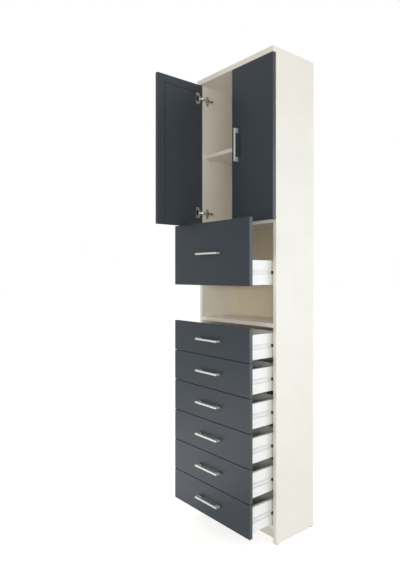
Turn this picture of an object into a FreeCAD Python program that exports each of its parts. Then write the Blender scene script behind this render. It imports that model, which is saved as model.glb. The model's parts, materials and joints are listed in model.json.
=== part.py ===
"""Tall narrow cabinet: two doors over a shelf, a drawer with a tall front, an open niche and six drawers.

Millimetres, +Z up, the front faces -Y. The origin lies on the floor under the middle of the plinth.
The cabinet stands as it is shown: left door open square, right door closed, every drawer pulled out.
"""
import FreeCAD
import Part
import Sketcher
import math
import os

SIZES = {
    # Sides of a small turned piece that comes many times
    "small_facets": 12,
    # Carcass
    "cabinet_width": 500.0,
    "side_depth": 232.0,
    "board_thickness": 16.0,
    "top_thickness": 22.0,
    "plinth_recess": 34.0,
    "base_overlap": 2.0,
    "niche_overlap": 7.0,
    "divider_overlap": 10.0,
    "glide_height": 4.0,
    "glide_radius": 7.0,
    "glide_inset": 12.0,
    "back_thickness": 3.0,
    "back_setback": 19.0,
    "groove_depth": 6.0,
    "groove_clearance": 0.2,
    "groove_spare": 0.5,
    # Adjustable shelf and its pins
    "shelf_rise": 322.0,
    "shelf_setback": 16.0,
    "shelf_clearance": 0.5,
    "pin_radius": 2.5,
    "pin_length": 16.0,
    "pin_depth": 8.0,
    "pin_inset": 30.0,
    # Cam fittings in the fixed panels
    "cam_radius": 7.5,
    "cam_depth": 12.0,
    "cam_end": 34.0,
    "cam_inset": 37.0,
    # Wall brackets behind the back panel
    "bracket_spacing": 300.0,
    "bracket_width": 25.0,
    "bracket_sheet": 2.0,
    "bracket_leg": 17.0,
    "bracket_drop": 40.0,
    "bracket_hole_radius": 3.1,
    "bracket_hole_drop": 26.0,
    # Fronts
    "front_thickness": 16.0,
    "front_gap": 3.0,
    "front_reveal": 1.5,
    "front_standoff": 2.0,
    "front_edge_radius": 1.0,
    "front_bottom": 72.0,
    "drawer_front_height": 132.0,
    "niche_gap": 162.0,
    "tall_front_height": 266.0,
    "door_height": 665.0,
    # Drawer boxes
    "drawer_pull": 127.0,
    "drawer_travel": 145.0,
    "box_thickness": 12.0,
    "box_height": 98.0,
    "box_length": 200.0,
    "box_lift": 4.0,
    "bottom_thickness": 3.0,
    "bottom_lift": 8.0,
    "bottom_groove": 5.0,
    # Drawer runners
    "runner_gap": 12.5,
    "runner_clearance": 0.3,
    "channel_height": 17.0,
    "channel_depth": 9.0,
    "channel_wall": 1.2,
    "channel_chamfer": 0.8,
    "channel_length": 190.0,
    "rail_setback": 2.0,
    "rail_length": 190.0,
    "rail_nose": 12.0,
    "rail_relief": 3.0,
    "rail_wall": 1.2,
    "stop_height": 2.2,
    "stop_length": 1.5,
    # Bar handles
    "handle_length": 142.0,
    "handle_width": 10.0,
    "handle_standoff": 21.0,
    "handle_bar": 6.0,
    "handle_leg": 19.0,
    "handle_radius": 2.0,
    "handle_chamfer": 0.6,
    "door_handle_inset": 37.0,
    # Concealed hinges
    "hinge_end": 65.0,
    "cup_edge": 21.5,
    "cup_radius": 17.5,
    "cup_wall": 1.5,
    "cup_depth": 12.0,
    "cup_floor": 1.0,
    "cup_play": 0.1,
    "flange_height": 52.0,
    "flange_width": 18.0,
    "flange_start": 17.0,
    "flange_thickness": 1.2,
    "cup_pivot_edge": 14.0,
    "cup_pivot_depth": 6.0,
    "arm_pivot_inset": 19.0,
    "arm_pivot_front": 8.9,
    "pivot_radius": 1.5,
    "pivot_clearance": 0.08,
    "eye_radius": 2.6,
    "link_width": 6.0,
    "link_thickness": 2.4,
    "link_bow": 2.8,
    "link_turn": 45.0,
    "door_turn": 90.0,
    "arm_width": 11.0,
    "arm_height": 10.0,
    "arm_length": 58.0,
    "arm_nose_radius": 2.6,
    "arm_slot_play": 0.4,
    "plate_thickness": 4.0,
    "plate_setback": 20.0,
    "plate_wing_height": 46.0,
    "plate_wing_width": 16.0,
    "plate_saddle": 40.0,
}

DRAWERS = ["drawer_6", "drawer_5", "drawer_4", "drawer_3", "drawer_2", "drawer_1"]

doc = FreeCAD.newDocument("tall_cabinet")


def make_sheet(name, cells):
    """A spreadsheet with one aliased cell for each entry."""
    sheet = doc.addObject("Spreadsheet::Sheet", name)
    for row, (alias, content) in enumerate(cells.items(), 1):
        sheet.set(f"A{row}", alias)
        sheet.set(f"B{row}", str(content))
        sheet.setAlias(f"B{row}", alias)
    doc.recompute()
    return sheet


sizes = make_sheet("Sizes", SIZES)

PLACES = {
    "half_width": "=Sizes.cabinet_width / 2",
    "inner_half": "=Sizes.cabinet_width / 2 - Sizes.board_thickness",
    "inner_width": "=Sizes.cabinet_width - 2 * Sizes.board_thickness",
    "carcass_front": "=-Sizes.plinth_recess - Sizes.board_thickness / 2",
    "carcass_rear": "=carcass_front + Sizes.side_depth",
    "back_front": "=carcass_rear - Sizes.back_setback - Sizes.back_thickness",
    "fronts_rear": "=carcass_front - Sizes.front_standoff",
    "fronts_face": "=fronts_rear - Sizes.front_thickness",
    "inner_depth": "=back_front - carcass_front",
    "drawer_pitch": "=Sizes.drawer_front_height + Sizes.front_gap",
    "stack_top": "=Sizes.front_bottom + 6 * drawer_pitch - Sizes.front_gap",
    "tall_bottom": "=stack_top + Sizes.niche_gap",
    "tall_top": "=tall_bottom + Sizes.tall_front_height",
    "door_bottom": "=tall_top + Sizes.front_gap",
    "door_top": "=door_bottom + Sizes.door_height",
    "top_bottom": "=door_top + Sizes.front_gap",
    "base_top": "=Sizes.front_bottom + Sizes.base_overlap",
    "base_bottom": "=base_top - Sizes.board_thickness",
    "niche_shelf_bottom": "=stack_top - Sizes.niche_overlap",
    "divider_bottom": "=tall_top - Sizes.divider_overlap",
    "shelf_bottom": "=divider_bottom + Sizes.board_thickness + Sizes.shelf_rise",
    "front_width": "=Sizes.cabinet_width - 2 * Sizes.front_reveal",
    "door_width": "=(front_width - Sizes.front_gap) / 2",
    "drawer_rear": "=fronts_rear - Sizes.drawer_pull",
    "box_half": "=inner_half - Sizes.runner_gap",
    "box_inner_half": "=box_half - Sizes.box_thickness",
    "rail_height": "=Sizes.channel_height - 2 * Sizes.channel_wall - 2 * Sizes.runner_clearance",
    "rail_depth": "=Sizes.runner_gap - Sizes.channel_wall - Sizes.runner_clearance",
    "rail_front": "=carcass_front + Sizes.rail_setback",
    "stop_place": "=Sizes.rail_setback + Sizes.rail_nose + Sizes.drawer_travel + Sizes.runner_clearance",
}
places = make_sheet("Places", PLACES)


def size(alias):
    return float(sizes.get(alias))


def place(alias):
    return float(places.get(alias))


def bind(thing, **expressions):
    """Tie properties to expressions; x, y and z stand for the placement's base."""
    for name, expression in expressions.items():
        target = f"Placement.Base.{name}" if name in ("x", "y", "z") else name
        thing.setExpression(target, expression)
    return thing


def block(name, x, y, z, length, width, height):
    """A box with its lowest corner at x, y, z."""
    box = doc.addObject("Part::Box", name)
    return bind(box, x=x, y=y, z=z, Length=length, Width=width, Height=height)


def turned(thing, x, y, z, axis):
    """Start a cylinder or prism at x, y, z and run it along axis."""
    turn = FreeCAD.Rotation(FreeCAD.Vector(0, 0, 1), FreeCAD.Vector(*axis))
    thing.Placement = FreeCAD.Placement(FreeCAD.Vector(), turn)
    return bind(thing, x=x, y=y, z=z)


def rod(name, x, y, z, radius, height, axis=(0, 0, 1)):
    """A round rod."""
    cylinder = doc.addObject("Part::Cylinder", name)
    bind(cylinder, Radius=radius, Height=height)
    return turned(cylinder, x, y, z, axis)


def stud(name, x, y, z, radius, height, axis=(0, 0, 1)):
    """A small rod with few facets."""
    prism = doc.addObject("Part::Prism", name)
    bind(prism, Polygon="Sizes.small_facets", Circumradius=radius, Height=height)
    return turned(prism, x, y, z, axis)


def cut(name, base, tools):
    """Base with every tool taken away."""
    for number, tool in enumerate(tools, 1):
        result = doc.addObject("Part::Cut", f"{name}_cut_{number}")
        result.Base = base
        result.Tool = tool
        base = result
    return base


def fuse(name, shapes):
    joined = doc.addObject("Part::MultiFuse", name)
    joined.Shapes = shapes
    return joined


PIECES = []


def piece(label, thing):
    """Name a sub-part and list it for export."""
    thing.Label = label
    PIECES.append(thing)
    return thing


def group(label, members):
    """One sub-part made of separate solids."""
    compound = doc.addObject("Part::Compound", f"{label}_group")
    compound.Links = members
    return piece(label, compound)


def outline_body(name, plane, points, depth, reverse=False):
    """A body padded from a square-cornered outline whose first point is the sketch's origin."""
    body = doc.addObject("PartDesign::Body", name)
    sketch = body.newObject("Sketcher::SketchObject", f"{name}_outline")
    planes = {feature.Role: feature for feature in body.Origin.OriginFeatures}
    sketch.AttachmentSupport = [(planes[plane], "")]
    sketch.MapMode = "FlatFace"
    corners = [
        FreeCAD.Vector(*(float(sizes.evalExpression(value)) for value in point), 0) for point in points
    ]
    count = len(corners)
    for index in range(count):
        sketch.addGeometry(Part.LineSegment(corners[index], corners[(index + 1) % count]))
    for index in range(count):
        sketch.addConstraint(Sketcher.Constraint("Coincident", index, 2, (index + 1) % count, 1))
    sketch.addConstraint(Sketcher.Constraint("Coincident", 0, 1, -1, 1))
    for index in range(count):
        start, end = corners[index], corners[(index + 1) % count]
        level = abs(start.y - end.y) < abs(start.x - end.x)
        sketch.addConstraint(Sketcher.Constraint("Horizontal" if level else "Vertical", index))
        if index < count - 2:
            axis = 0 if level else 1
            low, high = points[index][axis], points[(index + 1) % count][axis]
            forward = (end - start)[axis] > 0
            ends = (1, 2) if forward else (2, 1)
            kind = "DistanceX" if level else "DistanceY"
            length = abs((end - start)[axis])
            tag = sketch.addConstraint(Sketcher.Constraint(kind, index, ends[0], index, ends[1], length))
            rule = f"({high}) - ({low})" if forward else f"({low}) - ({high})"
            sketch.setExpression(f"Constraints[{tag}]", rule)
    pad = body.newObject("PartDesign::Pad", f"{name}_pad")
    pad.Profile = sketch
    pad.Reversed = reverse
    bind(pad, Length=depth)
    doc.recompute()
    return body, pad


def dress_edges(kind, body, feature, name, chosen, **amount):
    """Fillet or chamfer the edges of a feature that the test picks."""
    names = [
        f"Edge{number}" for number, edge in enumerate(feature.Shape.Edges, 1) if chosen(edge)
    ]
    dressed = body.newObject(f"PartDesign::{kind}", name)
    dressed.Base = (feature, names)
    bind(dressed, **amount)
    body.Tip = dressed
    doc.recompute()
    return dressed


def front_board(name, width, height):
    """A drawer or door front: rear face on y = 0, face towards -Y, rounded round its face."""
    zero = "0"
    corners = [(zero, zero), (width, zero), (width, height), (zero, height)]
    body, pad = outline_body(name, "XZ_Plane", corners, "Sizes.front_thickness")
    face = pad.Shape.BoundBox.YMin
    half_edge = size("front_edge_radius") / 2

    def on_face(edge):
        return edge.BoundBox.YMax < face + half_edge

    rounded = dress_edges(
        "Fillet", body, pad, f"{name}_round", on_face, Radius="Sizes.front_edge_radius"
    )
    return body, rounded


def handle(label):
    """A flat bar on two block legs; the feet lie on y = 0 and the bar stands out towards +Y."""
    zero = "0"
    length, out = "Sizes.handle_length", "Sizes.handle_standoff"
    leg = "Sizes.handle_leg"
    far_leg = "(Sizes.handle_length - Sizes.handle_leg)"
    under = "(Sizes.handle_standoff - Sizes.handle_bar)"
    corners = [
        (zero, zero), (leg, zero), (leg, under), (far_leg, under),
        (far_leg, zero), (length, zero), (length, out), (zero, out),
    ]
    body, pad = outline_body(f"{label}_body", "XY_Plane", corners, "Sizes.handle_width")
    far = size("handle_standoff")
    tolerance = size("handle_radius") / 2

    def at_corner(edge):
        box = edge.BoundBox
        upright = box.ZLength > tolerance
        at_end = box.XMin < tolerance or box.XMax > size("handle_length") - tolerance
        return upright and at_end and abs(box.YMax - far) < tolerance

    rounded = dress_edges(
        "Fillet", body, pad, f"{label}_round", at_corner, Radius="Sizes.handle_radius"
    )
    top = size("handle_width")

    def on_rim(edge):
        box = edge.BoundBox
        level = box.ZLength < tolerance
        on_side = box.ZMax < tolerance or box.ZMin > top - tolerance
        on_foot = box.YMax < tolerance
        return level and on_side and not on_foot

    dress_edges("Chamfer", body, rounded, f"{label}_rim", on_rim, Size="Sizes.handle_chamfer")
    return piece(label, body)


def seat_handle(body, middle, upright):
    """Put a handle with its feet's middle at a point of a front's face."""
    shift = FreeCAD.Vector(-size("handle_length") / 2, 0, -size("handle_width") / 2)
    turn = FreeCAD.Rotation(FreeCAD.Vector(0, 0, 1), 180)
    if upright:
        turn = FreeCAD.Rotation(FreeCAD.Vector(0, 1, 0), 90) * turn
    body.Placement = FreeCAD.Placement(middle, turn) * FreeCAD.Placement(shift, FreeCAD.Rotation())


# Carcass boards

def side_panel(label, side):
    """A side panel with the groove for the back panel and the holes for the shelf pins."""
    outer = "-Places.half_width" if side < 0 else "Places.inner_half"
    board = block(
        f"{label}_board", outer, "Places.carcass_front", "Sizes.glide_height",
        "Sizes.board_thickness", "Sizes.side_depth", "Places.top_bottom - Sizes.glide_height",
    )
    groove_x = "-Places.inner_half - Sizes.groove_depth" if side < 0 else "Places.inner_half"
    groove = block(
        f"{label}_groove", groove_x, "Places.back_front", "0",
        "Sizes.groove_depth", "Sizes.back_thickness + Sizes.groove_clearance", "Places.top_bottom",
    )
    holes = [shelf_pin(f"{label}_hole_{row}", side, row) for row in ("front", "rear")]
    return piece(label, cut(label, board, [groove] + holes))


def shelf_pin(name, side, row):
    """One shelf pin, half in the side panel and half under the shelf."""
    start = "-Places.inner_half - Sizes.pin_depth"
    if side > 0:
        start = "Places.inner_half - Sizes.pin_length + Sizes.pin_depth"
    along = {
        "front": "Places.carcass_front + Sizes.shelf_setback + Sizes.pin_inset",
        "rear": "Places.back_front - Sizes.pin_inset",
    }[row]
    below = "Places.shelf_bottom - Sizes.pin_radius"
    return stud(name, start, along, below, "Sizes.pin_radius", "Sizes.pin_length", (1, 0, 0))


def cam(name, side, row, panel_bottom):
    """One cam fitting, let into the underside of a fixed panel near its end."""
    across = "Places.inner_half - Sizes.cam_end"
    across = f"-({across})" if side < 0 else across
    along = {
        "front": "Places.carcass_front + Sizes.cam_inset",
        "rear": "Places.back_front - Sizes.cam_inset",
    }[row]
    return stud(name, across, along, panel_bottom, "Sizes.cam_radius", "Sizes.cam_depth")


CORNERS = [(-1, "front"), (-1, "rear"), (1, "front"), (1, "rear")]
cams = []


def fixed_panel(label, bottom):
    """A panel between the sides, with blind holes for its cam fittings."""
    board = block(
        f"{label}_board", "-Places.inner_half", "Places.carcass_front", bottom,
        "Places.inner_width", "Places.inner_depth", "Sizes.board_thickness",
    )
    holes = []
    for side, row in CORNERS:
        spot = f"{label}_{'left' if side < 0 else 'right'}_{row}"
        holes.append(cam(f"{spot}_hole", side, row, bottom))
        cams.append(cam(f"{spot}_cam", side, row, bottom))
    return piece(label, cut(label, board, holes))


def carcass():
    side_panel("side_panel_left", -1)
    side_panel("side_panel_right", 1)
    piece("top_board", block(
        "top", "-Places.half_width", "Places.fronts_face", "Places.top_bottom",
        "Sizes.cabinet_width", "Places.carcass_rear - Places.fronts_face", "Sizes.top_thickness",
    ))
    fixed_panel("base_panel", "Places.base_bottom")
    fixed_panel("niche_shelf", "Places.niche_shelf_bottom")
    fixed_panel("divider_panel", "Places.divider_bottom")
    group("cam_fittings", cams)
    shelf_front = "Places.carcass_front + Sizes.shelf_setback"
    piece("adjustable_shelf", block(
        "loose_shelf", "-Places.inner_half + Sizes.shelf_clearance", shelf_front, "Places.shelf_bottom",
        "Places.inner_width - 2 * Sizes.shelf_clearance",
        "Places.inner_depth - Sizes.shelf_setback - Sizes.shelf_clearance", "Sizes.board_thickness",
    ))
    group("shelf_pins", [
        shelf_pin(f"pin_{'left' if side < 0 else 'right'}_{row}", side, row) for side, row in CORNERS
    ])
    back_half = "(Places.inner_half + Sizes.groove_depth - Sizes.groove_spare)"
    piece("back_panel", block(
        "back", f"-{back_half}", "Places.back_front", "Places.base_bottom",
        f"2 * {back_half}", "Sizes.back_thickness", "Places.top_bottom - Places.base_bottom",
    ))
    piece("plinth_board", block(
        "plinth", "-Places.inner_half", "-Sizes.board_thickness / 2", "0",
        "Places.inner_width", "Sizes.board_thickness", "Places.base_bottom",
    ))
    glides = []
    for side, row in CORNERS:
        across = "(Places.half_width - Sizes.board_thickness / 2)"
        across = f"-{across}" if side < 0 else across
        along = "Places.carcass_front + Sizes.glide_inset"
        along = along if row == "front" else "Places.carcass_rear - Sizes.glide_inset"
        spot = f"glide_{'left' if side < 0 else 'right'}_{row}"
        glides.append(stud(spot, across, along, "0", "Sizes.glide_radius", "Sizes.glide_height"))
    group("floor_glides", glides)


def wall_brackets():
    """Two angle brackets under the top board, flush with the rear edges, one hole each for a wall screw."""
    brackets = []
    for name, sign in (("left", "-"), ("right", "")):
        middle = f"({sign}Sizes.bracket_spacing / 2)"
        start = f"{middle} - Sizes.bracket_width / 2"
        under = block(
            f"bracket_{name}_under", start, "Places.carcass_rear - Sizes.bracket_leg",
            "Places.top_bottom - Sizes.bracket_sheet",
            "Sizes.bracket_width", "Sizes.bracket_leg", "Sizes.bracket_sheet",
        )
        drop = block(
            f"bracket_{name}_drop", start, "Places.carcass_rear - Sizes.bracket_sheet",
            "Places.top_bottom - Sizes.bracket_drop",
            "Sizes.bracket_width", "Sizes.bracket_sheet", "Sizes.bracket_drop",
        )
        hole = rod(
            f"bracket_{name}_hole", middle, "Places.carcass_rear - 2 * Sizes.bracket_sheet",
            "Places.top_bottom - Sizes.bracket_hole_drop",
            "Sizes.bracket_hole_radius", "3 * Sizes.bracket_sheet", (0, 1, 0),
        )
        angle = fuse(f"bracket_{name}_angle", [under, drop])
        brackets.append(cut(f"bracket_{name}", angle, [hole]))
    group("wall_brackets", brackets)


# Drawers

def runner_middle(bottom):
    """Height of a drawer's runners, from the bottom edge of its front."""
    return f"({bottom} + Sizes.box_lift + Sizes.box_height / 2)"


def rail(name, side, bottom):
    """The cabinet half of a runner: a channel with a solid, full-height nose, relieved below behind it."""
    zero = "0"
    nose, length, relief = "Sizes.rail_nose", "Sizes.rail_length", "Sizes.rail_relief"
    tall = "Places.rail_height"
    corners = [
        (zero, zero), (nose, zero), (nose, relief), (length, relief), (length, tall), (zero, tall),
    ]
    body, _ = outline_body(f"{name}_bar", "YZ_Plane", corners, "Places.rail_depth")
    start = "-Places.inner_half" if side < 0 else "(Places.inner_half - Places.rail_depth)"
    low = f"({runner_middle(bottom)} - Places.rail_height / 2)"
    bind(body, x=start, y="Places.rail_front", z=low)
    hollow = block(
        f"{name}_hollow", f"{start} + Sizes.rail_wall" if side < 0 else start,
        "Places.rail_front + Sizes.rail_nose", f"{low} + Sizes.rail_relief + Sizes.rail_wall",
        "Places.rail_depth - Sizes.rail_wall", "Sizes.rail_length - Sizes.rail_nose",
        "Places.rail_height - Sizes.rail_relief - 2 * Sizes.rail_wall",
    )
    return cut(name, body, [hollow])


def channel(name, side, bottom):
    """The drawer half of a runner: a channel open towards the side panel, with a stop in its floor."""
    zero = "0"
    deep, tall, wall = "Sizes.channel_depth", "Sizes.channel_height", "Sizes.channel_wall"
    roof = "(Sizes.channel_height - Sizes.channel_wall)"
    web = "(Sizes.channel_depth - Sizes.channel_wall)"
    opens_left = [
        (zero, zero), (deep, zero), (deep, tall), (zero, tall),
        (zero, roof), (web, roof), (web, wall), (zero, wall),
    ]
    opens_right = [
        (zero, zero), (deep, zero), (deep, wall), (wall, wall),
        (wall, roof), (deep, roof), (deep, tall), (zero, tall),
    ]
    corners = opens_left if side < 0 else opens_right
    start = "-Places.box_half - Sizes.channel_depth" if side < 0 else "Places.box_half"
    front = "(Places.drawer_rear + Sizes.front_standoff)"
    low = f"({runner_middle(bottom)} - Sizes.channel_height / 2)"
    body, pad = outline_body(f"{name}_profile", "XZ_Plane", corners, "Sizes.channel_length", True)
    outer_web = size("channel_depth") if side < 0 else 0.0
    nearly = size("channel_chamfer") / 2

    def on_bend(edge):
        box = edge.BoundBox
        return box.YLength > nearly and abs(box.XMin - outer_web) < nearly

    dress_edges("Chamfer", body, pad, f"{name}_bend", on_bend, Size="Sizes.channel_chamfer")
    bind(body, x=start, y=front, z=low)
    stop_start = start if side < 0 else f"{start} + Sizes.channel_wall"
    stop = block(
        f"{name}_stop", stop_start, f"{front} + Places.stop_place", f"{low} + Sizes.channel_wall",
        "Sizes.channel_depth - Sizes.channel_wall", "Sizes.stop_length", "Sizes.stop_height",
    )
    return fuse(name, [body, stop])


def drawer_box(label, bottom):
    """Two grooved sides and a back as separate boards, and the bottom panel that slides into them."""
    low = f"({bottom} + Sizes.box_lift)"
    panel_low = f"({low} + Sizes.bottom_lift)"
    panel_top = f"({panel_low} + Sizes.bottom_thickness)"
    slot = "Sizes.bottom_thickness + Sizes.groove_clearance"
    boards = []
    for name, side in (("left", -1), ("right", 1)):
        start = "-Places.box_half" if side < 0 else "Places.box_inner_half"
        board = block(
            f"{label}_{name}_board", start, "Places.drawer_rear", low,
            "Sizes.box_thickness", "Sizes.box_length", "Sizes.box_height",
        )
        groove_x = "-Places.box_inner_half - Sizes.bottom_groove" if side < 0 else "Places.box_inner_half"
        groove = block(
            f"{label}_{name}_groove", groove_x, "Places.drawer_rear", panel_low,
            "Sizes.bottom_groove", "Sizes.box_length", slot,
        )
        boards.append(cut(f"{label}_{name}", board, [groove]))
    back_low = f"({panel_low} + {slot})"
    boards.append(block(
        f"{label}_back", "-Places.box_inner_half",
        "Places.drawer_rear + Sizes.box_length - Sizes.box_thickness", back_low,
        "2 * Places.box_inner_half", "Sizes.box_thickness",
        f"{low} + Sizes.box_height - {back_low}",
    ))
    group(f"{label}_box", boards)
    reach = "(Places.box_inner_half + Sizes.bottom_groove - Sizes.groove_spare)"
    piece(f"{label}_bottom", block(
        f"{label}_panel", f"-{reach}", "Places.drawer_rear", panel_low,
        f"2 * {reach}", "Sizes.box_length", f"{panel_top} - {panel_low}",
    ))


rails = {-1: [], 1: []}


def drawer(label, bottom, height):
    """One drawer, pulled out, with its front's bottom edge at the given height."""
    body, _ = front_board(f"{label}_front_board", "Places.front_width", height)
    bind(body, x="-Places.front_width / 2", y="Places.drawer_rear", z=bottom)
    piece(f"{label}_front", body)
    drawer_box(label, bottom)
    channels = []
    for name, side in (("left", -1), ("right", 1)):
        channels.append(channel(f"{label}_channel_{name}", side, bottom))
        rails[side].append(rail(f"{label}_rail_{name}", side, bottom))
    group(f"{label}_runners", channels)
    face = place("drawer_rear") - size("front_thickness")
    low = float(sizes.evalExpression(bottom))
    middle = low + float(sizes.evalExpression(height)) / 2
    seat_handle(handle(f"{label}_handle"), FreeCAD.Vector(0, face, middle), False)


def drawers():
    for number, label in enumerate(DRAWERS):
        bottom = f"(Sizes.front_bottom + {number} * Places.drawer_pitch)"
        drawer(label, bottom, "Sizes.drawer_front_height")
    drawer("tall_drawer", "Places.tall_bottom", "Sizes.tall_front_height")
    group("cabinet_runners_left", rails[-1])
    group("cabinet_runners_right", rails[1])


# Doors on concealed hinges; plan points of the left hinge, mirrored for the right one

def plan(across, along):
    """A plan point, from the left side's outer face and the carcass front."""
    return FreeCAD.Vector(across - place("half_width"), place("carcass_front") + along, 0)


UP = FreeCAD.Vector(0, 0, 1)
MIRROR = FreeCAD.Vector(1, 0, 0)
cup_pivot = plan(
    size("front_reveal") + size("cup_pivot_edge"),
    -size("front_standoff") - size("cup_pivot_depth"),
)
arm_pivot = plan(
    size("board_thickness") + size("arm_pivot_inset"), -size("arm_pivot_front")
)
link_opened = FreeCAD.Placement(FreeCAD.Vector(), FreeCAD.Rotation(UP, size("link_turn")), arm_pivot)
pivot_opened = link_opened.multVec(cup_pivot)
door_opened = FreeCAD.Placement(
    pivot_opened - cup_pivot, FreeCAD.Rotation(UP, -size("door_turn")), cup_pivot
)
HINGE_HEIGHTS = [
    place("door_bottom") + size("hinge_end"),
    place("door_top") - size("hinge_end"),
]


def at_hinges(shape):
    """The same shape at both hinge heights of a door."""
    copies = []
    for height in HINGE_HEIGHTS:
        copy = shape.copy()
        copy.translate(FreeCAD.Vector(0, 0, height))
        copies.append(copy)
    return copies


def upright(centre, radius, width):
    """A cylinder along Z, centred in height on the hinge."""
    return Part.makeCylinder(radius, width, centre - UP * (width / 2))


def faceted(centre, radius, width):
    """A short upright rod with few facets, centred in height on the hinge."""
    steps = int(size("small_facets"))
    rim = [
        centre + FreeCAD.Rotation(UP, 360 * step / steps).multVec(FreeCAD.Vector(radius, 0, 0))
        for step in range(steps)
    ]
    prism = Part.Face(Part.makePolygon(rim + rim[:1])).extrude(UP * width)
    prism.translate(UP * (-width / 2))
    return prism


def solid_group(label, shapes):
    """A sub-part of separate solids that are set directly."""
    feature = doc.addObject("Part::Feature", f"{label}_solids")
    feature.Shape = Part.Compound(shapes)
    return piece(label, feature)


def link_shape():
    """A bowed bar with an eye at each pivot, closed position, bowed towards the floor of the cup."""
    span = arm_pivot - cup_pivot
    chord = span.Length
    bow = size("link_bow")
    radius = (chord * chord / 4 + bow * bow) / (2 * bow)
    along = span.normalize()
    side = FreeCAD.Vector(-along.y, along.x, 0)
    centre = (cup_pivot + arm_pivot) / 2 + side * (radius - bow)
    half = size("link_thickness") / 2
    edges = []
    arcs = []
    for rim in (radius - half, radius + half):
        ends = [centre + (pivot - centre).normalize() * rim for pivot in (cup_pivot, arm_pivot)]
        arcs.append((ends[0], centre - side * rim, ends[1]))
    edges.append(Part.Arc(*arcs[0]).toShape())
    edges.append(Part.LineSegment(arcs[0][2], arcs[1][2]).toShape())
    edges.append(Part.Arc(*arcs[1]).toShape())
    edges.append(Part.LineSegment(arcs[1][0], arcs[0][0]).toShape())
    face = Part.Face(Part.Wire(Part.__sortEdges__(edges)))
    width = size("link_width")
    bar = face.extrude(UP * width)
    bar.translate(UP * (-width / 2))
    for pivot in (cup_pivot, arm_pivot):
        bar = bar.fuse(faceted(pivot, size("eye_radius"), width))
    bore = size("pivot_radius") + size("pivot_clearance")
    for pivot in (cup_pivot, arm_pivot):
        bar = bar.cut(upright(pivot, bore, 2 * width))
    return bar.removeSplitter()


def arm_shape():
    """The fixed arm: a bar on the mounting plate whose forked nose holds the link's pivot."""
    low = size("board_thickness") + size("plate_thickness")
    high = low + size("arm_height")
    nose = size("arm_nose_radius")
    width = size("arm_width")
    tip = (arm_pivot.x + place("half_width"), arm_pivot.y - place("carcass_front"))
    corners = [
        plan(low, size("arm_length")), plan(low, nose), plan(tip[0] - nose, tip[1]),
        plan(tip[0] + nose, tip[1]), plan(high + nose, nose), plan(high, 3 * nose),
        plan(high, size("arm_length")),
    ]
    face = Part.Face(Part.makePolygon(corners + corners[:1]))
    arm = face.extrude(UP * width)
    arm.translate(UP * (-width / 2))
    arm = arm.fuse(faceted(arm_pivot, nose, width))
    play = size("arm_slot_play")
    room = size("eye_radius") + play
    slot_width = size("link_width") + 2 * play
    reach = size("eye_radius") + size("link_bow") + nose
    corner = arm_pivot - FreeCAD.Vector(2 * reach, 2 * reach, slot_width / 2)
    slot = Part.makeBox(2 * reach + room + nose, 2 * reach + room, slot_width, corner)
    arm = arm.cut(slot)
    return arm.fuse(upright(arm_pivot, size("pivot_radius"), width)).removeSplitter()


def cup_shape():
    """The cup in the closed door: a round pot with two flange wings and the pin for the link."""
    edge = size("front_reveal")
    face = -size("front_standoff")
    centre = plan(edge + size("cup_edge"), face)
    out = FreeCAD.Vector(0, 1, 0)
    depth = size("cup_depth")
    pot = Part.makeCylinder(size("cup_radius") - size("cup_play"), depth, centre - out * depth, out)
    corner = plan(edge + size("flange_start"), face) - UP * (size("flange_height") / 2)
    plate = (size("flange_width"), size("flange_thickness"), size("flange_height"))
    flange = Part.makeBox(*plate, corner)
    flange = flange.makeFillet(size("flange_width") / 4, [
        rim for rim in flange.Edges if rim.BoundBox.YLength > size("flange_thickness") / 2
    ])
    hollow = Part.makeCylinder(
        size("cup_radius") - size("cup_wall"), depth + size("flange_thickness"),
        centre - out * (depth - size("cup_floor")), out,
    )
    offset = size("cup_edge") - size("cup_pivot_edge")
    inner = size("cup_radius") - size("cup_wall") / 2
    pin_width = 2 * math.sqrt(inner * inner - offset * offset)
    pin = upright(cup_pivot, size("pivot_radius"), pin_width)
    return pot.fuse(flange).cut(hollow).fuse(pin).removeSplitter()


def plate_shape():
    """A cross-shaped mounting plate on the side panel's inner face."""
    inner = size("board_thickness")
    thick = size("plate_thickness")
    wing_start = size("plate_setback")
    wing = Part.makeBox(
        thick, size("plate_wing_width"), size("plate_wing_height"),
        plan(inner, wing_start) - UP * (size("plate_wing_height") / 2),
    )
    wing = wing.makeChamfer(size("plate_wing_width") / 4, [
        rim for rim in wing.Edges if rim.BoundBox.XLength > thick / 2
    ])
    saddle_start = wing_start + (size("plate_wing_width") - size("plate_saddle")) / 2
    saddle = Part.makeBox(
        thick, size("plate_saddle"), size("arm_width"),
        plan(inner, saddle_start) - UP * (size("arm_width") / 2),
    )
    return wing.fuse(saddle).removeSplitter()


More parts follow.
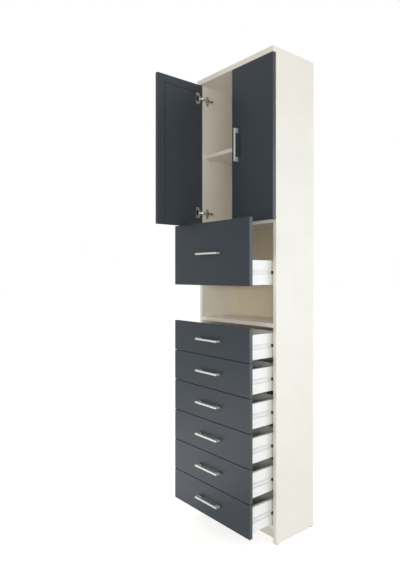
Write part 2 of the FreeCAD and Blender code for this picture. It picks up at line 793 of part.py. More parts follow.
def door_panel(label, side):
    """A door front with a blind bore for each hinge cup; closed position."""
    body, rounded = front_board(f"{label}_board", "Places.door_width", "Sizes.door_height")
    sketch = body.newObject("Sketcher::SketchObject", f"{label}_bores")
    planes = {feature.Role: feature for feature in body.Origin.OriginFeatures}
    sketch.AttachmentSupport = [(planes["XZ_Plane"], "")]
    sketch.MapMode = "FlatFace"
    across = "Sizes.cup_edge" if side < 0 else "Places.door_width - Sizes.cup_edge"
    rises = ["Sizes.hinge_end", "Sizes.door_height - Sizes.hinge_end"]
    for number, rise in enumerate(rises):
        centre = FreeCAD.Vector(*(float(sizes.evalExpression(value)) for value in (across, rise)), 0)
        sketch.addGeometry(Part.Circle(centre, UP, size("cup_radius")))
        rules = [
            ("DistanceX", across, Sketcher.Constraint("DistanceX", -1, 1, number, 3, centre.x)),
            ("DistanceY", rise, Sketcher.Constraint("DistanceY", -1, 1, number, 3, centre.y)),
            ("Radius", "Sizes.cup_radius", Sketcher.Constraint("Radius", number, size("cup_radius"))),
        ]
        for _, rule, constraint in rules:
            tag = sketch.addConstraint(constraint)
            sketch.setExpression(f"Constraints[{tag}]", rule)
    doc.recompute()
    before = rounded.Shape.Volume
    bores = body.newObject("PartDesign::Pocket", f"{label}_cup_bores")
    bores.Profile = sketch
    bores.Reversed = True
    bind(bores, Length="Sizes.cup_depth")
    body.Tip = bores
    doc.recompute()
    if bores.Shape.Volume >= before:
        raise RuntimeError(f"{label}: the cup bores cut nothing")
    return piece(label, body)


def door(name, side, opened):
    """One door with its cups, links and handle; opened is the door's move from its closed place."""
    panel = door_panel(f"{name}_door", side)
    start = -place("front_width") / 2 if side < 0 else size("front_gap") / 2
    closed = FreeCAD.Placement(
        FreeCAD.Vector(start, place("fronts_rear"), place("door_bottom")), FreeCAD.Rotation()
    )
    panel.Placement = opened * closed
    cup, link = cup_shape(), link_shape()
    if side > 0:
        cup, link = (shape.mirror(FreeCAD.Vector(), MIRROR) for shape in (cup, link))
    cups = solid_group(f"{name}_hinge_cups", at_hinges(cup))
    cups.Placement = opened
    links = solid_group(f"{name}_hinge_links", at_hinges(link))
    if side < 0:
        links.Placement = link_opened
    across = side * (size("front_gap") / 2 + size("door_handle_inset"))
    middle = FreeCAD.Vector(across, place("fronts_face"), place("door_bottom") + size("door_height") / 2)
    bar = handle(f"{name}_door_handle")
    seat_handle(bar, middle, True)
    bar.Placement = opened * bar.Placement


def doors():
    door("left", -1, door_opened)
    door("right", 1, FreeCAD.Placement())
    arms = at_hinges(arm_shape())
    plates = at_hinges(plate_shape())
    for members in (arms, plates):
        members.extend([shape.mirror(FreeCAD.Vector(), MIRROR) for shape in members])
    solid_group("hinge_arms", arms)
    solid_group("hinge_plates", plates)


def check_and_export():
    doc.recompute()
    for thing in doc.Objects:
        if "Invalid" in thing.State or "Error" in thing.State:
            raise RuntimeError(f"{thing.Label}: {thing.State}")
    for sub_part in PIECES:
        shape = sub_part.Shape
        if shape.isNull() or not shape.isValid() or not shape.Solids:
            raise RuntimeError(f"{sub_part.Label}: no valid solid")
    os.makedirs("parts", exist_ok=True)
    for sub_part in PIECES:
        sub_part.Shape.exportStep(f"parts/{sub_part.Label}.step")


carcass()
wall_brackets()
drawers()
doors()
check_and_export()
print(f"{len(PIECES)} sub-parts")
print(f"hinge link pivot on the arm, left: {arm_pivot.x:.2f}, {arm_pivot.y:.2f}")
print(f"hinge pivot on the opened left door: {pivot_opened.x:.2f}, {pivot_opened.y:.2f}")
print(f"hinge pivot on the closed door: {cup_pivot.x:.2f}, {cup_pivot.y:.2f}")
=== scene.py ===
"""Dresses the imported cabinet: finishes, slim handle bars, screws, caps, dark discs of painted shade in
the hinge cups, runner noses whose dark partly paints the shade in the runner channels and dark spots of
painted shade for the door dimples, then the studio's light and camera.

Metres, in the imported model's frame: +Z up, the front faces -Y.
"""
import json
import math
from collections import namedtuple

import bmesh
import bpy
from mathutils import Matrix, Vector

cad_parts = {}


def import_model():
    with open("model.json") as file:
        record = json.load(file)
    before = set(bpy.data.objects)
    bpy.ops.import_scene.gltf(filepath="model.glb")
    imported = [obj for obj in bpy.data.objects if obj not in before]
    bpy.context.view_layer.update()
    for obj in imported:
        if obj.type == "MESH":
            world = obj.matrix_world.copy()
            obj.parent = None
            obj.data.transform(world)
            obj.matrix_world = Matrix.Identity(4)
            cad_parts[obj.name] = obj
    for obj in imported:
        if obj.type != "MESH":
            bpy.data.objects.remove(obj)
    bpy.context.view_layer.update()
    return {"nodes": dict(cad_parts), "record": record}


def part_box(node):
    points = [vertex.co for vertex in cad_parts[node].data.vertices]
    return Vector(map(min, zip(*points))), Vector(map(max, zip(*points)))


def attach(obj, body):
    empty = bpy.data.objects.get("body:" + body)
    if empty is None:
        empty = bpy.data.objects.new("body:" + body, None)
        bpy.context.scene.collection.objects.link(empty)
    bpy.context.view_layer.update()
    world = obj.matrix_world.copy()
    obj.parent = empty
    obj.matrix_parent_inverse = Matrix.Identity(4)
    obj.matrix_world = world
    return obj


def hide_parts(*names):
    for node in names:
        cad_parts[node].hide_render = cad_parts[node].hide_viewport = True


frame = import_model()
nodes = frame["nodes"]

MM = 0.001
QUARTER = math.pi / 2
X, Y, Z = Vector((1, 0, 0)), Vector((0, 1, 0)), Vector((0, 0, 1))

EQUAL_DRAWERS = 6
DRAWERS = ["tall_drawer"] + [f"drawer_{number}" for number in range(1, EQUAL_DRAWERS + 1)]
SIDES = ["left", "right"]
# The left door stands open square and the right door is closed
DOOR_ACROSS = {"left": Y, "right": X}
DOOR_INWARD = {"left": X, "right": Y}


# Materials

# Colours as sRGB values, 0 to 255
CREAM = (241, 236, 226)
BACK_CREAM = (238, 227, 205)
GREY = (42, 51, 61)
# The edge grey is lighter than the faces: a painted highlight on the fronts' edge bands, for light from
# the right
EDGE_HIGHLIGHT_GREY = (71, 74, 80)
# The inner grey is lighter than the faces: painted light on the open door's inner face
INNER_LIT_GREY = (64, 71, 81)
WHITE = (246, 246, 244)
POWDER_WHITE = (236, 236, 234)
SATIN = (208, 207, 203)
NICKEL = (212, 212, 209)
DARK = (38, 39, 41)
# A dark that paints the shade in the dimples' hollows
DIMPLE_SHADE_DARK = (20, 22, 25)
ZINC = (176, 178, 180)
FLOOR_GREY = (222, 222, 222)

LACQUER_ROUGHNESS, EDGE_ROUGHNESS, MATT_ROUGHNESS = 0.42, 0.26, 0.9
SATIN_ROUGHNESS = 0.46
USUAL_SHINE, LACQUER_SHINE, DIMPLE_SHINE = 0.5, 0.3, 0.05
SATIN_METAL, PLATED_METAL, BARE_METAL = 0.35, 0.75, 1.0
# Scales of a metal's brush lines by axis: a small one draws the lines out along that axis
ALONG_X, ALONG_Z, EVENLY = (0.04, 1, 1), (1, 1, 0.04), (1, 1, 1)
# Where the low and the high colour of a noise lie on its ramp
NOISE_STOPS = [0.3, 0.7]
# Where the outer face, both ends of the edge band and the inner face of a grey board lie on its ramps
FACE_STOPS = [0.06, 0.3, 0.7, 0.94]
# Sockets of a Mix node that works on colours
MIX_FACTOR, MIX_FIRST, MIX_SECOND, MIX_RESULT = 0, 6, 7, 2


def linear(colour):
    """An sRGB colour as linear light, opaque."""
    channels = []
    for value in colour:
        share = value / 255
        channels.append(share / 12.92 if share <= 0.04045 else ((share + 0.055) / 1.055) ** 2.4)
    return (*channels, 1.0)


def grey_level(value):
    return (value, value, value, 1.0)


def larger(tree, first, second):
    """The larger of two values."""
    made = tree.nodes.new("ShaderNodeMath")
    made.operation = "MAXIMUM"
    tree.links.new(first, made.inputs[0])
    tree.links.new(second, made.inputs[1])
    return made.outputs["Value"]


class Finish:
    """A material with its shader, and short ways to add the nodes that feed it."""

    def __init__(self, name, colour, roughness, metallic=0.0, shine=USUAL_SHINE):
        self.material = bpy.data.materials.new(name)
        self.material.use_nodes = True
        self.tree = self.material.node_tree
        self.shader = self.tree.nodes["Principled BSDF"]
        self.shader.inputs["Base Color"].default_value = linear(colour)
        self.shader.inputs["Roughness"].default_value = roughness
        self.shader.inputs["Metallic"].default_value = metallic
        self.shader.inputs["Specular IOR Level"].default_value = shine
        self.colour = colour
        self.roughness = roughness

    def node(self, kind, **values):
        """A new node, with values for its sockets by their names in lower case."""
        made = self.tree.nodes.new(kind)
        for name, value in values.items():
            made.inputs[name.replace("_", " ").title()].default_value = value
        return made

    def link(self, source, target):
        self.tree.links.new(source, target)

    def noise(self, scale, detail=3.0, by_axis=EVENLY):
        """Noise over the object's own coordinates, which by_axis scales along X, Y and Z."""
        place = self.node("ShaderNodeTexCoord")
        mapping = self.node("ShaderNodeMapping", scale=by_axis)
        texture = self.node("ShaderNodeTexNoise", scale=scale, detail=detail)
        self.link(place.outputs["Object"], mapping.inputs["Vector"])
        self.link(mapping.outputs["Vector"], texture.inputs["Vector"])
        return texture.outputs["Fac"]

    def ramp(self, source, stops, colours):
        """A colour ramp over a value, with one linear colour for every stop."""
        made = self.node("ShaderNodeValToRGB")
        elements = made.color_ramp.elements
        while len(elements) < len(stops):
            elements.new(1.0)
        for element, position, colour in zip(elements, stops, colours):
            element.position, element.color = position, colour
        self.link(source, made.inputs["Fac"])
        return made.outputs["Color"]

    def face_ramp(self, axis, colours):
        """A ramp over one axis of the normal in the object's own coordinates."""
        place = self.node("ShaderNodeTexCoord")
        split = self.node("ShaderNodeSeparateXYZ")
        share = self.node("ShaderNodeMapRange", from_min=-1.0, from_max=1.0)
        self.link(place.outputs["Normal"], split.inputs["Vector"])
        self.link(split.outputs[axis], share.inputs["Value"])
        return self.ramp(share.outputs["Result"], FACE_STOPS, colours)

    def vary_colour(self, source, amount):
        """Let the base colour wander by a share of itself."""
        channels = linear(self.colour)[:3]
        low = [channel * (1 - amount) for channel in channels]
        high = [min(1.0, channel * (1 + amount)) for channel in channels]
        shade = self.ramp(source, NOISE_STOPS, [(*low, 1.0), (*high, 1.0)])
        self.link(shade, self.shader.inputs["Base Color"])

    def tint(self, colour, source, amount):
        """Use a colour from the nodes, darkened here and there by a share of itself."""
        shade = self.ramp(source, NOISE_STOPS, [grey_level(1 - amount), grey_level(1.0)])
        mix = self.node("ShaderNodeMix")
        mix.data_type, mix.blend_type = "RGBA", "MULTIPLY"
        mix.inputs[MIX_FACTOR].default_value = 1.0
        self.link(colour, mix.inputs[MIX_FIRST])
        self.link(shade, mix.inputs[MIX_SECOND])
        self.link(mix.outputs[MIX_RESULT], self.shader.inputs["Base Color"])

    def vary_roughness(self, source, amount):
        low, high = self.roughness - amount, self.roughness + amount
        spread = self.node("ShaderNodeMapRange", to_min=low, to_max=high)
        self.link(source, spread.inputs["Value"])
        self.link(spread.outputs["Result"], self.shader.inputs["Roughness"])

    def bump(self, source, strength, distance):
        bump = self.node("ShaderNodeBump", strength=strength, distance=distance)
        self.link(source, bump.inputs["Height"])
        self.link(bump.outputs["Normal"], self.shader.inputs["Normal"])


def laminate(name, colour, roughness):
    """Melamine-faced board: an even colour with a fine pearl texture."""
    finish = Finish(name, colour, roughness)
    grain = finish.noise(scale=1400.0, detail=2.0)
    finish.vary_colour(finish.noise(scale=6.0), amount=0.025)
    finish.vary_roughness(grain, amount=0.06)
    finish.bump(grain, strength=0.12, distance=0.05 * MM)
    return finish.material


def lacquer(name, inward, edge):
    """Smooth dark paint with a faint orange-peel surface, painted light that makes the inner face
    lighter, matt on top and bottom edges.

    inward is the axis, in the board's own coordinates, that its inner face looks along. edge is the
    colour of its edge band, which is glossier than its faces; an edge colour lighter than the faces'
    grey is a painted highlight.
    """
    finish = Finish(name, GREY, LACQUER_ROUGHNESS, shine=LACQUER_SHINE)
    # The edge colour, where lighter than the faces, paints a highlight on the edge band
    colours = [linear(colour) for colour in (GREY, edge, edge, INNER_LIT_GREY)]
    finish.tint(finish.face_ramp(inward, colours), finish.noise(scale=5.0), amount=0.04)
    levels = (LACQUER_ROUGHNESS, EDGE_ROUGHNESS, EDGE_ROUGHNESS, LACQUER_ROUGHNESS)
    gloss = finish.face_ramp(inward, [grey_level(level) for level in levels])
    levels = (MATT_ROUGHNESS, 0.0, 0.0, MATT_ROUGHNESS)
    matt = finish.face_ramp("Z", [grey_level(level) for level in levels])
    finish.link(larger(finish.tree, gloss, matt), finish.shader.inputs["Roughness"])
    finish.bump(finish.noise(scale=420.0, detail=2.0), strength=0.08, distance=0.05 * MM)
    return finish.material


def brushed(name, colour, roughness, metallic, by_axis=EVENLY):
    """Metal with fine lines, drawn out along the axis that by_axis scales least."""
    finish = Finish(name, colour, roughness, metallic)
    lines = finish.noise(scale=900.0, by_axis=by_axis)
    finish.vary_colour(lines, amount=0.06)
    finish.vary_roughness(lines, amount=0.08)
    finish.bump(lines, strength=0.15, distance=0.03 * MM)
    return finish.material


def powder_coat(name, colour, roughness):
    """Painted sheet metal with a fine speckle."""
    finish = Finish(name, colour, roughness)
    speckle = finish.noise(scale=2200.0, detail=2.0)
    finish.vary_colour(finish.noise(scale=40.0), amount=0.02)
    finish.vary_roughness(speckle, amount=0.08)
    finish.bump(speckle, strength=0.2, distance=0.06 * MM)
    return finish.material


def plastic(name, colour, roughness, shine=USUAL_SHINE):
    """Moulded plastic with a fine spark-eroded texture."""
    finish = Finish(name, colour, roughness, shine=shine)
    spark = finish.noise(scale=1800.0)
    finish.vary_colour(finish.noise(scale=80.0), amount=0.08)
    finish.vary_roughness(spark, amount=0.08)
    finish.bump(spark, strength=0.25, distance=0.05 * MM)
    return finish.material


finishes = {
    "carcass_board": laminate("cream_laminate", CREAM, roughness=0.42),
    "back_board": laminate("back_laminate", BACK_CREAM, roughness=0.55),
    "grey_front": lacquer("grey_lacquer", "Y", EDGE_HIGHLIGHT_GREY),
    "white_box": laminate("white_laminate", WHITE, roughness=0.45),
    "white_steel": powder_coat("white_powder_coat", POWDER_WHITE, roughness=0.4),
    "satin_handle": brushed("satin_bar", SATIN, SATIN_ROUGHNESS, SATIN_METAL, ALONG_X),
    "bright_steel": brushed("nickel_plate", NICKEL, roughness=0.32, metallic=PLATED_METAL),
    "dark_plastic": plastic("dark_plastic", DARK, roughness=0.5),
}
# The open door's edges keep the faces' grey, with no painted highlight
open_door = lacquer("grey_lacquer_door", "X", GREY)
upright_handle = brushed("satin_bar_upright", SATIN, SATIN_ROUGHNESS, SATIN_METAL, ALONG_Z)
screw_zinc = brushed("zinc_screw", ZINC, roughness=0.35, metallic=BARE_METAL)
# Flat dark spots that paint the shade of the dimples' hollows
dimple_painted_shade = plastic("dimple_painted_shade", DIMPLE_SHADE_DARK, roughness=0.7, shine=DIMPLE_SHINE)


def paint(thing, material):
    thing.data.materials.clear()
    thing.data.materials.append(material)


def paint_nodes():
    """Give every node its slot's finish, and the open door, which is turned, one without the painted edge
    highlight.
    """
    for entry in frame["record"]["subparts"]:
        paint(nodes[entry["node"]], finishes[entry["material_slot"]])
    paint(nodes["left_door"], open_door)


# Added pieces

ROUND_PROFILE = 0.5

# Handles: outer sizes, leg and bar, rounded corners and softened rims, and the steps in both
HANDLE_LENGTH, HANDLE_WIDTH, HANDLE_STANDOFF = 142 * MM, 7.6 * MM, 21 * MM
HANDLE_LEG, HANDLE_BAR = 19 * MM, 5.6 * MM
HANDLE_CORNER, HANDLE_RIM = 2.0 * MM, 0.8 * MM
CORNER_STEPS, RIM_STEPS = 6, 3
SHARP_ANGLE = math.radians(40)

# Domed heads, with the depth of the driver slot
Head = namedtuple("Head", "radius height slot")
HANDLE_CAP = Head(4.5 * MM, 0.6 * MM, 0.0)
SCREW = Head(3.6 * MM, 1.6 * MM, 0.9 * MM)
CUP_SCREW = Head(3.0 * MM, 1.2 * MM, 0.7 * MM)
RUNNER_SCREW = Head(3.0 * MM, 0.22 * MM, 0.15 * MM)
# Dark adjuster heads, whose dark also paints the shade of the hinge arm's screw holes
ADJUSTER = Head(3.6 * MM, 1.2 * MM, 0.8 * MM)
# A dark disc on a cup's floor: painted shade of the cup's hollow
CUP_SHADE_DISC = Head(15.6 * MM, 0.12 * MM, 0.0)
DIMPLE = Head(2.7 * MM, 0.15 * MM, 0.0)
# A driver slot's half width and reach, as shares of the head's radius
SLOT_HALF, SLOT_REACH = 0.17, 0.62
# The share of its squared height that a dome has lost at its rim
DOME_FALL = 0.75
HEAD_RINGS, HEAD_CORNERS = 7, 28

# Hinges: distances from a door's ends and hinged edge, a hinge's middle and its arm's rear end
HINGE_END = 65 * MM
CUP_EDGE, CUP_FLOOR = 21.5 * MM, 11 * MM
CUP_SCREW_EDGE, CUP_SCREW_RISE = 27 * MM, 20.5 * MM
FLANGE_THICKNESS, PLATE_THICKNESS = 1.2 * MM, 4 * MM
PLATE_SCREW_RISE = 16 * MM
ARM_HEIGHT = 10 * MM
ARM_SCREWS = [12 * MM, 32 * MM]

# Dimples: the distance from a door's edges and from one to the next
DIMPLE_INSET, DIMPLE_PITCH = 37 * MM, 13.5 * MM
DIMPLE_RINGS, DIMPLE_CORNERS = 3, 12

# Drawer runners: the screws along a channel and the noses on the rails
CHANNEL_WALL = 1.2 * MM
RUNNER_SCREWS = [35 * MM, 99 * MM, 163 * MM]
RAIL_HEIGHT = 14 * MM
# The noses' dark partly paints the shade inside the runner channels
NOSE_DEPTH, NOSE_BEVEL = 3.4 * MM, 0.5 * MM
NOSE_STEPS = 2


def add_object(name, data):
    thing = bpy.data.objects.new(name, data)
    bpy.context.scene.collection.objects.link(thing)
    return thing


def add_mesh(name, mesh):
    """Put a bmesh into the scene as an object."""
    data = bpy.data.meshes.new(name)
    mesh.to_mesh(data)
    mesh.free()
    return add_object(name, data)


def add_piece(name, mesh, body, material):
    """Add a bmesh as a piece that rides on a body."""
    thing = add_mesh(name, mesh)
    paint(thing, material)
    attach(thing, body)
    return thing


def add_head(mesh, spot, normal, head, rings=HEAD_RINGS, corners=HEAD_CORNERS):
    """A closed dome that stands on a spot, with a cross-shaped driver slot where the head has one."""
    place = Matrix.Translation(spot) @ normal.to_track_quat("Z", "Y").to_matrix().to_4x4()
    slot_half, slot_reach = SLOT_HALF * head.radius, SLOT_REACH * head.radius

    def dome(x, y):
        away = math.hypot(x, y) / head.radius
        top = head.height * math.sqrt(1 - DOME_FALL * away * away)
        in_slot = min(abs(x), abs(y)) < slot_half and max(abs(x), abs(y)) < slot_reach
        return top - (head.slot if in_slot else 0.0)

    def flat(x, y):
        return 0.0

    def circle(away, rise):
        made = []
        for step in range(corners):
            angle = math.tau * step / corners
            x, y = away * math.cos(angle), away * math.sin(angle)
            made.append(mesh.verts.new(place @ Vector((x, y, rise(x, y)))))
        return made

    centre = mesh.verts.new(place @ Vector((0, 0, dome(0, 0))))
    circles = [circle(head.radius * ring / rings, dome) for ring in range(1, rings + 1)]
    foot = circle(head.radius, flat)
    circles.append(foot)
    for step in range(corners):
        after = (step + 1) % corners
        mesh.faces.new((centre, circles[0][step], circles[0][after]))
        for inner, outer in zip(circles, circles[1:]):
            mesh.faces.new((inner[step], outer[step], outer[after], inner[after]))
    mesh.faces.new(list(reversed(foot)))


def soften(mesh, edges, width, steps):
    """Round some edges off."""
    bmesh.ops.bevel(mesh, geom=list(edges), offset=width, segments=steps,
                    affect="EDGES", profile=ROUND_PROFILE)


def add_nose(mesh, low, high):
    """A box with softened edges."""
    made = bmesh.ops.create_cube(mesh, size=1.0)
    size, middle = high - low, (low + high) / 2
    for vertex in made["verts"]:
        vertex.co = middle + vertex.co * size
    edges = dict.fromkeys(edge for vertex in made["verts"] for edge in vertex.link_edges)
    soften(mesh, edges, NOSE_BEVEL, NOSE_STEPS)


def handle_outline():
    """A bar handle's side view, as (along, out) points from the middle of its feet."""
    half, inner = HANDLE_LENGTH / 2, HANDLE_LENGTH / 2 - HANDLE_LEG
    under = HANDLE_STANDOFF - HANDLE_BAR
    points = [(-inner, 0.0), (-inner, under), (inner, under), (inner, 0.0), (half, 0.0)]
    for side, start in ((1, 0.0), (-1, QUARTER)):
        for step in range(CORNER_STEPS + 1):
            angle = start + QUARTER * step / CORNER_STEPS
            points.append((side * (half - HANDLE_CORNER) + HANDLE_CORNER * math.cos(angle),
                           HANDLE_STANDOFF - HANDLE_CORNER + HANDLE_CORNER * math.sin(angle)))
    points.append((-half, 0.0))
    return points


def bar_handle(body, along, out, material):
    """A slim bar handle with softened rims, in the place of a body's handle node."""
    low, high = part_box(f"{body}_handle")
    feet = (low + high) / 2 - out * HANDLE_STANDOFF / 2
    across = along.cross(out)
    outline = handle_outline()
    mesh = bmesh.new()
    sides = []
    for offset in (-HANDLE_WIDTH / 2, HANDLE_WIDTH / 2):
        places = [feet + along * run + out * rise + across * offset for run, rise in outline]
        sides.append([mesh.verts.new(place) for place in places])
    near, far = sides
    for here in range(len(outline)):
        there = (here + 1) % len(outline)
        mesh.faces.new((near[here], near[there], far[there], far[here]))
    faces = [mesh.faces.new(list(reversed(near))), mesh.faces.new(far)]
    bmesh.ops.recalc_face_normals(mesh, faces=mesh.faces)
    rims = [edge for face in faces for edge in face.edges]
    soften(mesh, rims, HANDLE_RIM, RIM_STEPS)
    for face in mesh.faces:
        face.smooth = True
    piece = add_piece(f"{body}_bar", mesh, body, material)
    piece.data.set_sharp_from_angle(angle=SHARP_ANGLE)
    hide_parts(f"{body}_handle")


def leg_middles(low, high):
    """The middles of a handle's two legs along its length."""
    return [low + HANDLE_LEG / 2, high - HANDLE_LEG / 2]


def hinge_heights():
    low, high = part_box("right_door")
    return [low.z + HINGE_END, high.z - HINGE_END]


def door_spot(side, from_edge, height):
    """A point of a door's inner face, measured from its hinged edge, and the way that face looks."""
    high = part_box(f"{side}_door")[1]
    spot = high - DOOR_ACROSS[side] * from_edge
    spot.z = height
    return spot, DOOR_INWARD[side]


def door_fittings(side):
    """Cup screws on a door's inner face, grey caps over its handle screws and dark discs in its cups that
    paint the shade of the cups' hollows.
    """
    screws, caps, shade_discs = bmesh.new(), bmesh.new(), bmesh.new()
    body = f"{side}_door"
    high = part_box(body)[1]
    handle_low, handle_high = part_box(f"{body}_handle")
    from_edge = (high - (handle_low + handle_high) / 2).dot(DOOR_ACROSS[side])
    for height in leg_middles(handle_low.z, handle_high.z):
        spot, normal = door_spot(side, from_edge, height)
        add_head(caps, spot, normal, HANDLE_CAP)
    for hinge in hinge_heights():
        for offset in (-CUP_SCREW_RISE, CUP_SCREW_RISE):
            spot, normal = door_spot(side, CUP_SCREW_EDGE, hinge + offset)
            add_head(screws, spot + normal * FLANGE_THICKNESS, normal, CUP_SCREW)
        spot, normal = door_spot(side, CUP_EDGE, hinge)
        # A dark disc on the cup's floor paints the shade of its hollow
        add_head(shade_discs, spot - normal * CUP_FLOOR, normal, CUP_SHADE_DISC)
    add_piece(f"{side}_cup_screws", screws, body, screw_zinc)
    add_piece(f"{side}_handle_caps", caps, body, finishes["grey_front"])
    add_piece(f"{side}_cup_shade_discs", shade_discs, body, finishes["dark_plastic"])


def door_dimple_shade(side):
    """Small dark spots of painted shade that stand for the hollows of dimples, along the free edge and
    the top of a door's inner face.
    """
    body = f"{side}_door"
    low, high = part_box(body)
    across = (high - low).dot(DOOR_ACROSS[side]) - 2 * DIMPLE_INSET
    upward = high.z - low.z - 2 * DIMPLE_INSET
    columns, rows = round(across / DIMPLE_PITCH), round(upward / DIMPLE_PITCH)
    places = [(columns, row) for row in range(rows + 1)]
    places += [(column, rows) for column in range(columns)]
    mesh = bmesh.new()
    for column, row in places:
        from_edge = DIMPLE_INSET + across * column / columns
        height = low.z + DIMPLE_INSET + upward * row / rows
        spot, normal = door_spot(side, from_edge, height)
        add_head(mesh, spot, normal, DIMPLE, DIMPLE_RINGS, DIMPLE_CORNERS)
    add_piece(f"{side}_door_dimple_shade", mesh, body, dimple_painted_shade)


def drawer_screws(body):
    """Handle screws behind a drawer's front and flat, painted screws in its runners."""
    screws, painted = bmesh.new(), bmesh.new()
    front_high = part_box(f"{body}_front")[1]
    handle_low, handle_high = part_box(f"{body}_handle")
    middle = (handle_low.z + handle_high.z) / 2
    for across in leg_middles(handle_low.x, handle_high.x):
        add_head(screws, Vector((across, front_high.y, middle)), Y, SCREW)
    runner_low, runner_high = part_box(f"{body}_runners")
    box_low, box_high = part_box(f"{body}_box")
    centre = (runner_low.z + runner_high.z) / 2
    for normal, web in ((-X, box_low.x), (X, box_high.x)):
        for along in RUNNER_SCREWS:
            spot = Vector((web, runner_low.y + along, centre)) + normal * CHANNEL_WALL
            add_head(painted, spot, normal, RUNNER_SCREW)
    add_piece(f"{body}_handle_screws", screws, body, screw_zinc)
    add_piece(f"{body}_runner_screws", painted, body, finishes["white_steel"])


def runner_noses():
    """A dark plastic cap on the front end of every rail in the cabinet, whose dark also paints the shade
    in the runner channel around the rail's end.
    """
    mesh = bmesh.new()
    for drawer in DRAWERS:
        runner_low, runner_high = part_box(f"{drawer}_runners")
        centre = (runner_low.z + runner_high.z) / 2
        for side in SIDES:
            rail_low, rail_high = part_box(f"cabinet_runners_{side}")
            low = Vector((rail_low.x, rail_low.y - NOSE_DEPTH, centre - RAIL_HEIGHT / 2))
            high = Vector((rail_high.x, rail_low.y, centre + RAIL_HEIGHT / 2))
            add_nose(mesh, low, high)
    add_piece("runner_noses", mesh, "carcass", finishes["dark_plastic"])


def hinge_screws():
    """Two screws in every hinge plate and two dark adjusting screws on every arm, whose dark also paints
    the shade of the arm's screw holes.
    """
    screws, adjusters = bmesh.new(), bmesh.new()
    plate_low, plate_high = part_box("hinge_plates")
    arm_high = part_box("hinge_arms")[1]
    middle = (plate_low.y + plate_high.y) / 2
    for normal, face in ((X, plate_low.x + PLATE_THICKNESS), (-X, plate_high.x - PLATE_THICKNESS)):
        for hinge in hinge_heights():
            for offset in (-PLATE_SCREW_RISE, PLATE_SCREW_RISE):
                add_head(screws, Vector((face, middle, hinge + offset)), normal, SCREW)
            for along in ARM_SCREWS:
                spot = Vector((face, arm_high.y - along, hinge)) + normal * ARM_HEIGHT
                add_head(adjusters, spot, normal, ADJUSTER)
    add_piece("hinge_plate_screws", screws, "carcass", screw_zinc)
    add_piece("hinge_adjusters", adjusters, "carcass", finishes["dark_plastic"])


# Studio

WORLD_LIGHT, BACKDROP_LIGHT = 0.58, 1.0
WORLD_WARMTH = (1.0, 0.98, 0.945, 1.0)
COOL, WARM, NEUTRAL = (0.74, 0.87, 1.0), (1.0, 0.94, 0.83), (1.0, 1.0, 1.0)
# Lamps: name, place, target, size, watts and colour
LAMPS = [
    ("fill", (2.2, -2.0, 1.16), (0.0, 0.0, 1.0), (1.4, 0.15), 19, WARM),
    ("key", (3.0, -1.0, 1.4), (0.0, 0.0, 0.9), (1.5, 2.4), 9.5, COOL),
    ("rim", (2.5, 1.9, 1.1), (0.2, 0.0, 1.0), (1.6, 2.5), 30, COOL),
    ("back", (-2.4, 1.6, 1.8), (0.0, 0.0, 1.0), (2.0, 2.5), 24, NEUTRAL),
    ("low_front", (-0.5, -1.3, 0.15), (0.0, 0.0, 0.2), (1.4, 0.5), 2.8, NEUTRAL),
    ("floor_bounce", (-0.75, -0.8, 0.02), (-0.75, -0.8, 1.0), (1.1, 1.1), 3.7, NEUTRAL),
]

FLOOR_HALF = 30.0
# Light that the floor gives off for rays that see it directly
FLOOR_LIFT = 0.6

# Camera: the photograph's height and the fitted lens and shift, in pixels, then the turn in degrees
SENSOR = 36.0
IMAGE_HEIGHT, FOCAL_PIXELS = 570, 496
SHIFT_PIXELS = (-36.8, -10.05)
CAMERA_PLACE = (1.6305, -1.4795, 1.0846)
CAMERA_TURN = 48.38


def area_light(name, place, target, size, watts, colour):
    data = bpy.data.lights.new(name, "AREA")
    data.shape = "RECTANGLE"
    data.size, data.size_y = size
    data.energy = watts
    data.color = colour
    lamp = add_object(name, data)
    lamp.location = place
    lamp.rotation_euler = (Vector(target) - Vector(place)).to_track_quat("-Z", "Y").to_euler()
    lamp.visible_camera = False


def seen_directly(tree):
    """A switch that is on for camera, glossy and transmission rays."""
    paths = tree.nodes.new("ShaderNodeLightPath")
    switch = paths.outputs["Is Camera Ray"]
    for name in ("Is Glossy Ray", "Is Transmission Ray"):
        switch = larger(tree, switch, paths.outputs[name])
    return switch


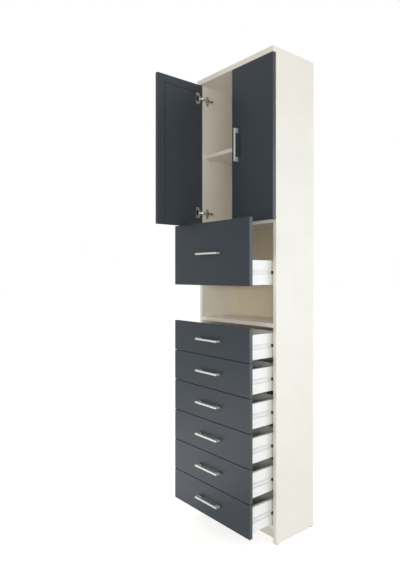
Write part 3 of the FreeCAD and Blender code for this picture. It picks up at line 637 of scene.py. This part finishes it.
def world():
    """Soft, slightly warm light from all around, and a white backdrop where rays see it directly."""
    made = bpy.data.worlds.new("studio")
    made.use_nodes = True
    bpy.context.scene.world = made
    tree = made.node_tree
    ambient = tree.nodes["Background"]
    ambient.inputs["Color"].default_value = WORLD_WARMTH
    ambient.inputs["Strength"].default_value = WORLD_LIGHT
    backdrop = tree.nodes.new("ShaderNodeBackground")
    backdrop.inputs["Color"].default_value = grey_level(1.0)
    backdrop.inputs["Strength"].default_value = BACKDROP_LIGHT
    mix = tree.nodes.new("ShaderNodeMixShader")
    switch, when_off, when_on = mix.inputs
    tree.links.new(seen_directly(tree), switch)
    tree.links.new(ambient.outputs["Background"], when_off)
    tree.links.new(backdrop.outputs["Background"], when_on)
    tree.links.new(mix.outputs["Shader"], tree.nodes["World Output"].inputs["Surface"])


def floor():
    """A wide, pale floor that is lifted toward white where rays see it directly."""
    mesh = bmesh.new()
    bmesh.ops.create_grid(mesh, x_segments=1, y_segments=1, size=FLOOR_HALF)
    thing = add_mesh("floor", mesh)
    finish = Finish("floor_white", FLOOR_GREY, roughness=0.9)
    finish.vary_colour(finish.noise(scale=2.0), amount=0.01)
    lift = finish.node("ShaderNodeMath")
    lift.operation = "MULTIPLY"
    lift.inputs[1].default_value = FLOOR_LIFT
    finish.link(seen_directly(finish.tree), lift.inputs[0])
    finish.shader.inputs["Emission Color"].default_value = grey_level(1.0)
    finish.link(lift.outputs["Value"], finish.shader.inputs["Emission Strength"])
    paint(thing, finish.material)


def camera():
    """A level camera whose shift takes the place of a tilt."""
    data = bpy.data.cameras.new("camera")
    data.sensor_fit = "VERTICAL"
    data.sensor_height = SENSOR
    data.lens = SENSOR * FOCAL_PIXELS / IMAGE_HEIGHT
    data.shift_x, data.shift_y = [shift / IMAGE_HEIGHT for shift in SHIFT_PIXELS]
    thing = add_object("camera", data)
    thing.location = CAMERA_PLACE
    thing.rotation_euler = (QUARTER, 0, math.radians(CAMERA_TURN))
    bpy.context.scene.camera = thing


paint_nodes()
for door_side in SIDES:
    bar_handle(f"{door_side}_door", Z, -DOOR_INWARD[door_side], upright_handle)
for drawer_body in DRAWERS:
    bar_handle(drawer_body, X, -Y, finishes["satin_handle"])
for door_side in SIDES:
    door_fittings(door_side)
    door_dimple_shade(door_side)
for drawer_body in DRAWERS:
    drawer_screws(drawer_body)
runner_noses()
hinge_screws()
world()
floor()
for lamp_values in LAMPS:
    area_light(*lamp_values)
camera()
bpy.context.scene.view_settings.view_transform = "Standard"
